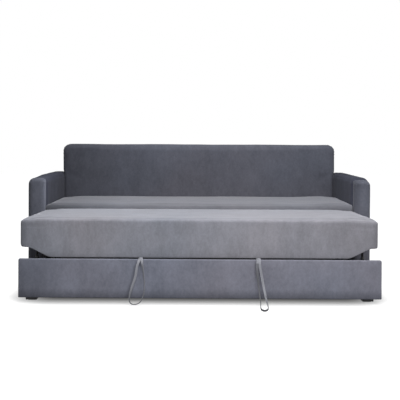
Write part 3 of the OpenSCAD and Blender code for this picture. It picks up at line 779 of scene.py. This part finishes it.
def make_arm(side):
    low, high = span(f"arm_cover_{side}")
    low.z -= UNDER
    inward = 1 if side == "left" else -1
    tops = (ARM_INNER, ARM_OUTER) if inward > 0 else (ARM_OUTER, ARM_INNER)
    seams = (ARM_SEAM, high.y - low.y - ARM_REAR - 2 * SEAM_WIDTH)
    slab = Slab(low, high, Y, (ARM_LOW, ARM_LOW, *tops), (ARM_FRONT, ARM_REAR), ARM_CELL, seams)
    arm = slab.piece(f"arm_{side}", velvet_arms[side])
    seat_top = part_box("seat_cushion")[1][2]
    middle = (low + high) / 2
    round_at = high.z - ARM_ROUND
    inner_x = high.x if inward > 0 else -low.x

    def hold(point):
        return point.z < low.z + ARM_HELD

    inflate(arm, hold, FIRM, ARM_SWELL)
    subdivide(arm)

    def pucker_at(point):
        near_edge = (bell(point.y, low.y + PUCKER_BEHIND, ARM_PUCKER_WIDTH)
                     * rise_from(point.z, round_at, ARM_PUCKER_ENDS))
        x, z = point.x - middle.x, point.z - round_at
        return pucker(point, x, z, ARM_PUCKER, ARM_PUCKER_WAVE) * near_edge

    def bulge_at(point, normal):
        inner = rise(normal.x * inward, *INWARD)
        reach = rise_from(point.z, seat_top, BULGE_FROM_SEAT)
        reach *= 1 - rise_from(point.y, high.y, BULGE_FROM_REAR)
        return ARM_BULGE * reach * inner * rise_from(point.y, low.y, BULGE_FROM_FRONT)

    def finish(point, normal):
        facing = rise(-normal.y, *FACING)
        up = rise(point.z, low.z, low.z + ARM_FOOT)
        groove = sum(bell(point.y, low.y + seam, SEAM_WIDTH) for seam in seams)
        sag = waves(point, ARM_WAVES) * up
        point = point + normal * (sag + pucker_at(point) - SEAM_DEPTH * groove * (1 - facing) * up)
        sinking = rise(point.z, round_at, high.z)
        point.z -= TOP_DROP[side] * sinking * (1 - rise(point.y, low.y, low.y + DROP_REACH[side]))
        point.x += inward * bulge_at(point, normal)
        over = point.x * inward - inner_x + FRONT_INSET[side]
        point.x -= inward * max(over, 0) * (1 - rise_from(point.y, low.y, INSET_FADE))
        return point

    edit(arm, finish)

    # faces that get painted shade: behind the front seam and turned to the inner side or the top
    def at_side(point, normal):
        turned = normal.x * inward > SIDE_TURN or normal.z > TOP_TURN
        return point.y > low.y + ARM_SEAM and turned

    # faces that get the painted highlight: the front's inner edge
    def at_highlight(point, normal):
        in_front = point.y < low.y + ARM_SEAM and normal.z < TOP_TURN
        return in_front and point.x * inward > inner_x - ARM_STRIPE

    # painted shade on the inner side and the top, and on the left arm a painted highlight along the front's
    # inner edge
    paint(arm, velvet_side_shade, at_side)
    if side == "left":
        paint(arm, velvet_highlight, at_highlight)
    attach(arm, "sofa_base")
    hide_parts(f"arm_cover_{side}")


# backrest: radii, mesh, seam and the lap over the panel below it
BACK_ROUND = 50 * MM
BACK_EDGE = 28 * MM
BACK_REAR = 20 * MM
BACK_LOW = 2 * MM
BACK_LAP = 3 * MM
BACK_CELL = 20 * MM
BACK_SEAM = 33 * MM
# the rounding of the edges begins above the square lower end
BACK_EASE = 0.08
BACK_EASE_ENDS = (5 * MM, 50 * MM)
# what is held, the swelling, the waves and the height over which they begin
BACK_HELD = 4 * MM
BACK_HELD_SIDE = 2 * MM
BACK_SWELL = 5 * MM
BACK_WAVES = ((1.6 * MM, 3.1, 3), (0.8 * MM, 9, 4))
BACK_FOOT = 60 * MM
# puckers round the upper corners
BACK_PUCKER = 1.8 * MM
BACK_PUCKER_AREA = 60 * MM
BACK_PUCKER_RADIUS = 46 * MM
BACK_PUCKER_REACH = 40 * MM
BACK_PUCKER_WIDTH = 30 * MM
BACK_PUCKER_WAVE = (3, 12, 5)
# above the arms the ends bulge over them
BACK_BULGE = 5 * MM
BACK_FREE = (-20 * MM, 25 * MM)
SIDEWARD = (0.3, 1)


def make_backrest():
    low, high = span("back_cover")
    arm_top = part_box("arm_cover_left")[1][2]
    low.z -= BACK_LAP

    def ease(u, v, inset):
        return BACK_EASE + (1 - BACK_EASE) * rise(v, *BACK_EASE_ENDS)

    slab = Slab(low, high, Y, (BACK_LOW, BACK_LOW, BACK_ROUND, BACK_ROUND), (BACK_EDGE, BACK_REAR),
                BACK_CELL, (BACK_SEAM,), ease)
    back = slab.piece("backrest", velvet_back)

    def hold(point):
        beside_arm = abs(point.x) > high.x - BACK_HELD_SIDE and point.z < arm_top
        return point.z < low.z + BACK_HELD or beside_arm

    inflate(back, hold, FIRM, BACK_SWELL)
    subdivide(back)

    def pucker_at(point):
        around = Vector((abs(point.x) - high.x + BACK_ROUND, 0, point.z - high.z + BACK_ROUND))
        if around.x <= -BACK_PUCKER_AREA or around.z <= -BACK_PUCKER_AREA:
            return 0
        reach = (bell(around.length, BACK_PUCKER_RADIUS, BACK_PUCKER_REACH)
                 * bell(point.y, low.y + PUCKER_BEHIND, BACK_PUCKER_WIDTH))
        return pucker(point, around.x, around.z, BACK_PUCKER, BACK_PUCKER_WAVE) * reach

    def finish(point, normal):
        facing = rise(-normal.y, *FACING)
        up = rise(point.z, low.z, low.z + BACK_FOOT)
        free = rise_from(point.z, arm_top, BACK_FREE)
        sag = waves(point, BACK_WAVES) * up
        groove = SEAM_DEPTH * bell(point.y, low.y + BACK_SEAM, SEAM_WIDTH) * (1 - facing) * free
        point = point + normal * (sag + pucker_at(point) - groove)
        point.x += math.copysign(BACK_BULGE * free * rise(abs(normal.x), *SIDEWARD), point.x)
        return point

    edit(back, finish)
    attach(back, "sofa_base")
    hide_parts("back_cover")


# boards wrapped in velvet
BOARD_EDGE = 3 * MM
BOARD_CELL = 30 * MM
BOARD_WAVES = ((0.5 * MM, 8, 6),)
BOARD_SINK = 0.3 * MM


def make_wrapped_board(node, name, body, material):
    low, high = span(node)
    slab = Slab(low, high, Y, (BOARD_EDGE,) * 4, (BOARD_EDGE, BOARD_EDGE), BOARD_CELL)
    board = slab.piece(name, material)

    def finish(point, normal):
        return point + normal * (waves(point, BOARD_WAVES) - BOARD_SINK)

    edit(board, finish)
    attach(board, body)
    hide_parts(node)


# how far in a cushion's top is fully crowned, and how far its corners droop
CROWN_REACH = 240 * MM
DROOP_REACH = 130 * MM


def soft_top(point, low, high, crown, droop, rear_droop):
    """How far a cushion's top stands above its edges: crowned, and lower at the corners."""
    to_side = min(point.x - low.x, high.x - point.x)
    to_front, to_rear = point.y - low.y, high.y - point.y
    share = min(to_side, to_front) / CROWN_REACH
    height = crown * (1 - (1 - min(max(share, 0), 1)) ** 2)
    for along, depth in ((to_front, droop), (to_rear, rear_droop)):
        height -= depth * bell(math.hypot(to_side, along), 0, DROOP_REACH)
    return height


# rear seat: radii, mesh, side gap and the other edges' shares of the front edge's rounding
SEAT_EDGE = 46 * MM
LEFT_SHARE = 0.1
RIGHT_SHARE = 0.02
REAR_SHARE = 0.25
SEAT_LOW = 6 * MM
SEAT_CORNER = 18 * MM
SEAT_CELL = 20 * MM
SIDE_GAP = 1.5 * MM
# its crown, and where its right end stands higher
SEAT_CROWN = 5 * MM
EXTRA_CROWN = 2 * MM
SEAT_REAR_DROOP = 12 * MM
RIGHT_LIFT = 9 * MM
LIFT_ENDS = (-320 * MM, -40 * MM)
# what is held, the swelling, the waves and their room
SEAT_HELD = 60 * MM
SEAT_HELD_REAR = 5 * MM
SEAT_SWELL = 5 * MM
SEAT_WAVES = ((2.0 * MM, 2.2, 7), (1.2 * MM, 7, 8))
SEAT_UPWARD = (0.2, 0.9)
SEAT_ROOM = 2 * MM


def make_seat():
    low, high = span("seat_cushion")
    low.x += SIDE_GAP
    high.x -= SIDE_GAP
    high.z -= SEAT_CROWN
    depth = high.y - low.y
    width = high.x - low.x

    def ease(u, v, inset):
        full = fall(inset, SEAT_EDGE)
        wanted = (fall(v, SEAT_EDGE) + LEFT_SHARE * fall(u, SEAT_EDGE)
                  + RIGHT_SHARE * fall(width - u, SEAT_EDGE) + REAR_SHARE * fall(depth - v, SEAT_EDGE))
        return min(wanted / full, 1) if full > 0 else 0

    slab = Slab(low, high, Z, (SEAT_CORNER,) * 4, (SEAT_LOW, SEAT_EDGE), SEAT_CELL, ease=ease)

    def crown(point, part):
        if part == "high":
            point.z += soft_top(point, low, high, SEAT_CROWN + EXTRA_CROWN, 0, SEAT_REAR_DROOP)
            point.z += RIGHT_LIFT * rise_from(point.x, high.x, LIFT_ENDS)
        return point

    slab.each(crown)
    seat = slab.piece("seat_pad", velvet_seat)

    def hold(point):
        return point.z < high.z - SEAT_HELD or point.y > high.y - SEAT_HELD_REAR

    inflate(seat, hold, SOFT, SEAT_SWELL)
    subdivide(seat)

    def finish(point, normal):
        point = point + normal * (waves(point, SEAT_WAVES) * rise(normal.z, *SEAT_UPWARD))
        point.x = min(max(point.x, low.x), high.x)
        point.y = min(max(point.y, low.y - SEAT_ROOM), high.y + SEAT_ROOM)
        return point

    edit(seat, finish)
    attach(seat, "sofa_base")
    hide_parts("seat_cushion")


# front mattress: radii and mesh, and where the rounding of its rear edge lessens
BED_EDGE = 15 * MM
BED_LOW = 3 * MM
BED_CORNER = 34 * MM
BED_CELL = 18 * MM
BED_REAR_EASE = 0.5
BED_EASE_ENDS = (-90 * MM, -30 * MM)
# its underside hangs and turns up into flat wings at both ends
BED_HANG = 5 * MM
WING_FLAT = 45 * MM
WING_RUN = 110 * MM
WING_RISE = 50 * MM + BED_HANG
WING_ROUND = 9 * MM
WING_LEVEL = 0.8
# its top is crowned, droops at the corners and slopes to the rear
BED_CROWN = 2 * MM
BED_DROOP = 6 * MM
BED_REAR_DROOP = 9 * MM
FRONT_LIFT = 8 * MM
REAR_SINK = 6.5 * MM
# what is held, the swelling and the waves
BED_HELD = 55 * MM
BED_HELD_REAR = 3 * MM
BED_SWELL = 5 * MM
BED_WAVES = ((1.6 * MM, 3, 11), (0.7 * MM, 10, 12))
BED_SIDE_SHARE = 0.5
BED_UPWARD = (0.15, 0.8)
BED_FORWARD = (0.3, 0.95)
# ripples along the front edge
RIPPLES = ((1.8 * MM, 9, 9), (1.2 * MM, 23, 10))
RIPPLE_BELOW = 8 * MM
RIPPLE_HEIGHT = 34 * MM
RIPPLE_DEPTH = 60 * MM
# a crease across each front corner
CREASE = 3.0 * MM
CREASE_BELOW = 34 * MM
CREASE_RISE = 10 * MM
CREASE_RUN = 220 * MM
CREASE_WIDTH = 8 * MM
CREASE_FADE = (120 * MM, 260 * MM)
# how far the front and the ends stand out, and where the ends begin to
FRONT_SWELL = 2.2 * MM
END_SWELL = {"left": 9 * MM, "right": 2.5 * MM}
END_TURN = (0.3, 0.95)
END_LEVELS = (-0.12, 0.12)
# the hollow for the timber frame
POCKET_END = 20 * MM
POCKET_WALL = 4 * MM
POCKET_OVERRUN = 20 * MM


def make_mattress():
    low, high = span("front_mattress")
    low.z -= BED_HANG
    depth = high.y - low.y
    height = high.z - low.z

    def ease(u, v, inset):
        return 1 - BED_REAR_EASE * rise_from(v, depth, BED_EASE_ENDS)

    slab = Slab(low, high, Z, (BED_CORNER,) * 4, (BED_LOW, BED_EDGE), BED_CELL, ease=ease)
    wing_x = high.x - WING_FLAT
    belly_x = wing_x - WING_RUN

    def underside(x):
        share = min(max((abs(x) - belly_x) / WING_RUN, 0), 1)
        return WING_RISE * share

    def shape(point, part):
        if part == "high":
            point.z += soft_top(point, low, high, BED_CROWN, BED_DROOP, BED_REAR_DROOP)
            point.z += FRONT_LIFT - (FRONT_LIFT + REAR_SINK) * (point.y - low.y) / depth
        below = underside(point.x)
        level = (point.z - low.z) / height
        point.z += below * (1 - min(level / WING_LEVEL, 1))
        tip = Vector((high.x - WING_ROUND, 0, low.z + WING_RISE + WING_ROUND))
        out = Vector((abs(point.x) - tip.x, 0, point.z - tip.z))
        if out.x > 0 and out.z < 0 and out.length > WING_ROUND:
            out *= WING_ROUND / out.length
            point.x = math.copysign(tip.x + out.x, point.x)
            point.z = tip.z + out.z
        return point

    slab.each(shape)
    bed = slab.piece("mattress", velvet_bed)

    def hold(point):
        return point.z < high.z - BED_HELD or point.y > high.y - BED_HELD_REAR

    inflate(bed, hold, SOFT, BED_SWELL)
    subdivide(bed)

    def finish(point, normal):
        top = rise(normal.z, *BED_UPWARD)
        front = rise(-normal.y, *BED_FORWARD)
        edge = (bell(point.z, high.z - RIPPLE_BELOW, RIPPLE_HEIGHT)
                * max(front, top * bell(point.y, low.y, RIPPLE_DEPTH)))
        ripple = waves((point.x, 0, 0), RIPPLES)
        body = waves(point, BED_WAVES)
        end = high.x - abs(point.x)
        crease_z = high.z - CREASE_BELOW + CREASE_RISE * rise(end, 0, CREASE_RUN)
        crease = CREASE * bell(point.z, crease_z, CREASE_WIDTH) * front * (1 - rise(end, *CREASE_FADE))
        move = body * (BED_SIDE_SHARE + (1 - BED_SIDE_SHARE) * top) + ripple * edge - crease
        point = point + normal * move
        level = (point.z - low.z - WING_RISE) / (height - WING_RISE)
        way, side = (1, "right") if point.x > 0 else (-1, "left")
        point.x += way * END_SWELL[side] * rise(abs(normal.x), *END_TURN) * rise(level, *END_LEVELS)
        point.y = max(point.y, low.y - FRONT_SWELL)
        point.y = min(point.y, high.y)
        return point

    edit(bed, finish)
    cut_pocket(bed, low, high)
    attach(bed, "raised_bed")
    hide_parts("front_mattress")


def cut_pocket(bed, low, high):
    """Hollows the mattress from below, where its timber frame sits."""
    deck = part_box("bed_slats")[1][2]
    bottom = low.z - POCKET_OVERRUN
    half = high.x - POCKET_END
    front, rear = low.y + POCKET_WALL, high.y - POCKET_WALL
    corners = [(x, y, z) for z in (bottom, deck) for x, y in (
        (-half, front), (half, front), (half, rear), (-half, rear))]
    faces = [(3, 2, 1, 0), (4, 5, 6, 7), (0, 1, 5, 4), (1, 2, 6, 5), (2, 3, 7, 6), (3, 0, 4, 7)]
    cutter = make_piece("pocket", corners, faces, velvet_bed, smooth=False)
    cut = bed.modifiers.new("pocket", "BOOLEAN")
    cut.operation = "DIFFERENCE"
    cut.solver = "EXACT"
    cut.object = cutter
    apply_modifiers(bed)
    bpy.data.objects.remove(cutter)


# front panel of the trundle: radii, mesh, and how far its cover departs from the solid
PANEL_EDGE = 5 * MM
PANEL_REAR_EDGE = 1 * MM
PANEL_ROUND = 7 * MM
PANEL_LOW = 4 * MM
PANEL_CELL = 16 * MM
PANEL_END = 2 * MM
PANEL_SINK = 1.5 * MM
PANEL_RISE = 2 * MM
# the padding and the waves, and how far inside the edge both are full
PANEL_PAD = 1.6 * MM
PAD_REACH = 40 * MM
PANEL_WAVES = ((1.1 * MM, 3.4, 13), (0.6 * MM, 11, 14))
WAVE_REACH = 25 * MM


def make_panel():
    low, high = span("panel_cover")
    high.y += UNDER
    high.x += PANEL_END
    low.z += PANEL_RISE
    high.z -= PANEL_SINK
    slab = Slab(low, high, Y, (PANEL_LOW, PANEL_LOW, PANEL_ROUND, PANEL_ROUND),
                (PANEL_EDGE, PANEL_REAR_EDGE), PANEL_CELL)
    panel = slab.piece("front_panel", velvet_panel)
    subdivide(panel)

    def finish(point, normal):
        front = rise(-normal.y, *FACING)
        inset = min(high.z - point.z, point.z - low.z, high.x - point.x, point.x - low.x)
        pad = PANEL_PAD * rise(inset, 0, PAD_REACH) * front
        roll = waves(point, PANEL_WAVES) * front * rise(inset, 0, WAVE_REACH)
        return point + normal * (pad + roll)

    edit(panel, finish)
    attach(panel, "trundle")
    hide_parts("panel_cover")


# webbing tabs: half width, middle from the solid's outer end, reach past it at the front and rear
TAB_HALF = 9.5 * MM
TAB_MIDDLE = 15 * MM
TAB_FRONT = 3 * MM
TAB_REAR = 2 * MM
TAB_CORNER = 1.5 * MM
TAB_EDGES = (0.5 * MM, 2.2 * MM)
TAB_CELL = 3 * MM


def make_tabs():
    low, high = span("loop_tabs")
    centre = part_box("loop_tabs")[1][0] - TAB_MIDDLE
    for side, sign in (("left", -1), ("right", 1)):
        x = sign * centre
        slab = Slab((x - TAB_HALF, low.y - TAB_FRONT, low.z - PANEL_SINK),
                    (x + TAB_HALF, high.y + TAB_REAR, high.z), Z, (TAB_CORNER,) * 4, TAB_EDGES, TAB_CELL)
        tab = slab.piece(f"loop_tab_{side}", tape, "webbing")
        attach(tab, "trundle")
        if sign < 0:
            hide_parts("loop_tabs")


for side in ("left", "right"):
    make_arm(side)
make_backrest()
make_wrapped_board("bay_rear_panel", "rear_panel", "sofa_base", velvet_back)
make_wrapped_board("seat_front_rail", "seat_rail_cover", "sofa_base", velvet_seat)
make_seat()
make_mattress()
make_panel()
make_tabs()


# finishes of the construction's own parts, and the timbers whose grain runs across or upright
FINISHES = {"velvet": velvet_back, "webbing": tape, "black_steel": steel, "black_nylon": nylon,
            "timber": timber_y}
ALONG_X = ("back_top_rail", "back_bottom_rail", "seat_rear_rail", "bed_front_plank", "bed_rear_plank",
           "panel_board")
ALONG_Z = ("arm_frame_left", "arm_frame_right", "back_studs")
for entry in frame["record"]["subparts"]:
    chosen = FINISHES[entry["material_slot"]]
    if entry["material_slot"] == "timber":
        if entry["node"] in ALONG_X:
            chosen = timber_x
        elif entry["node"] in ALONG_Z:
            chosen = timber_z
    for slot in nodes[entry["node"]].material_slots:
        slot.material = chosen


# studio
WHITE = (1, 1, 1, 1)
SOFT_WHITE = (0.97, 0.98, 1, 1)
SEEN = ("Is Camera Ray", "Is Glossy Ray", "Is Transmission Ray")
WORLD_LEVEL = 0.14


def seen_by(tree, kinds):
    """1 for rays of these kinds."""
    path = tree.nodes.new("ShaderNodeLightPath")
    total = path.outputs[kinds[0]]
    for kind in kinds[1:]:
        add = tree.nodes.new("ShaderNodeMath")
        add.operation = "MAXIMUM"
        tree.links.new(total, add.inputs[0])
        tree.links.new(path.outputs[kind], add.inputs[1])
        total = add.outputs[0]
    return total


def make_world():
    """Soft light for the sofa, and plain white where the camera looks past it."""
    world = bpy.data.worlds.new("studio")
    bpy.context.scene.world = world
    world.use_nodes = True
    tree = world.node_tree
    tree.nodes.clear()
    mix = tree.nodes.new("ShaderNodeMixShader")
    out = tree.nodes.new("ShaderNodeOutputWorld")
    tree.links.new(seen_by(tree, SEEN), mix.inputs[0])
    for index, color, level in ((1, SOFT_WHITE, WORLD_LEVEL), (2, WHITE, 1)):
        light = tree.nodes.new("ShaderNodeBackground")
        light.inputs["Color"].default_value = color
        light.inputs["Strength"].default_value = level
        tree.links.new(light.outputs[0], mix.inputs[index])
    tree.links.new(mix.outputs[0], out.inputs["Surface"])


FLOOR_HALF = 14
FLOOR_TONE = 0.3
# painted shade: the floor's tone just behind the sofa
REAR_SHADE_TONE = 0.07
# where the floor shows only light and shadow: half width, front and rear end, fade past them
SHADOW_BOXES = {
    "sofa": (0.9, 0.1, 0.94, 0.26), "rear": (1.08, 0.72, 0.9, 0.1), "trundle": (0.8, -0.6, 0.1, 0.31)}
FADE_POWER = 1.55


def make_floor():
    """A pale floor that shows the sofa's shadow close to it, painted shade just behind it, and plain white
    further off.
    """
    verts = [(x * FLOOR_HALF, y * FLOOR_HALF, 0) for x, y in ((-1, -1), (1, -1), (1, 1), (-1, 1))]
    mesh = bpy.data.meshes.new("floor")
    mesh.from_pydata(verts, [], [(0, 1, 2, 3)])
    floor = bpy.data.objects.new("floor", mesh)
    bpy.context.collection.objects.link(floor)
    make = Nodes("pale_floor")
    tree = make.tree
    tree.nodes.remove(make.shader)
    out = tree.nodes["Material Output"]
    aside = make.math("ABSOLUTE", make.along(X), 0)
    glow = seen_by(tree, SEEN)
    tone = FLOOR_TONE
    for place, (half_width, front, rear, fade) in SHADOW_BOXES.items():
        off_x = make.math("MAXIMUM", make.math("SUBTRACT", aside, half_width), 0)
        from_middle = make.math("SUBTRACT", make.along(Y), (front + rear) / 2)
        past_end = make.math("SUBTRACT", make.math("ABSOLUTE", from_middle, 0), (rear - front) / 2)
        off_y = make.math("MAXIMUM", past_end, 0)
        off = make.math("SQRT", make.math("ADD", make.math("MULTIPLY", off_x, off_x),
                                          make.math("MULTIPLY", off_y, off_y)), 0)
        glow = make.math("MINIMUM", glow, make.math("POWER", make.spread(off, 0, fade), FADE_POWER))
        # painted shade: behind the sofa the floor's tone falls to the rear shade tone
        if place == "rear":
            tone = make.spread(off, 0, fade, REAR_SHADE_TONE, FLOOR_TONE)
    grey = make.add("ShaderNodeCombineXYZ", {0: tone, 1: tone, 2: tone})
    diffuse = make.add("ShaderNodeBsdfDiffuse", {"Color": grey.outputs[0]})
    emission = make.add("ShaderNodeEmission", {"Color": WHITE, "Strength": glow})
    total = make.add("ShaderNodeAddShader", {0: diffuse.outputs[0], 1: emission.outputs[0]})
    tree.links.new(total.outputs[0], out.inputs["Surface"])
    mesh.materials.append(make.material)


# softboxes: where each stands, what it points at, its size in metres and its power in watts
SOFTBOXES = {
    "key": ((0.5, -3.1, 1.8), (0, -0.6, 0.35), (2.0, 1.1), 80),
    "overhead": ((0, -0.5, 2.9), (0, -0.45, 0), (2.0, 1.6), 75),
    "left": ((-3.4, -0.2, 0.5), (-1, 0, 0.35), (1.8, 0.5), 3),
    "right": ((3.4, -0.2, 0.5), (1, 0, 0.35), (1.8, 0.5), 14),
    "rear": ((0, 3.4, 0.9), (0, 0.8, 0.45), (2.6, 0.7), 16)}


def make_softbox(name):
    place, target, size, power = SOFTBOXES[name]
    data = bpy.data.lights.new(name, "AREA")
    data.shape = "RECTANGLE"
    data.size, data.size_y = size
    data.energy = power
    lamp = bpy.data.objects.new(name, data)
    lamp.location = place
    lamp.rotation_euler = (Vector(target) - Vector(place)).to_track_quat("-Z", "Y").to_euler()
    bpy.context.collection.objects.link(lamp)


make_world()
make_floor()
for name in SOFTBOXES:
    make_softbox(name)

bpy.context.scene.view_settings.view_transform = "Standard"
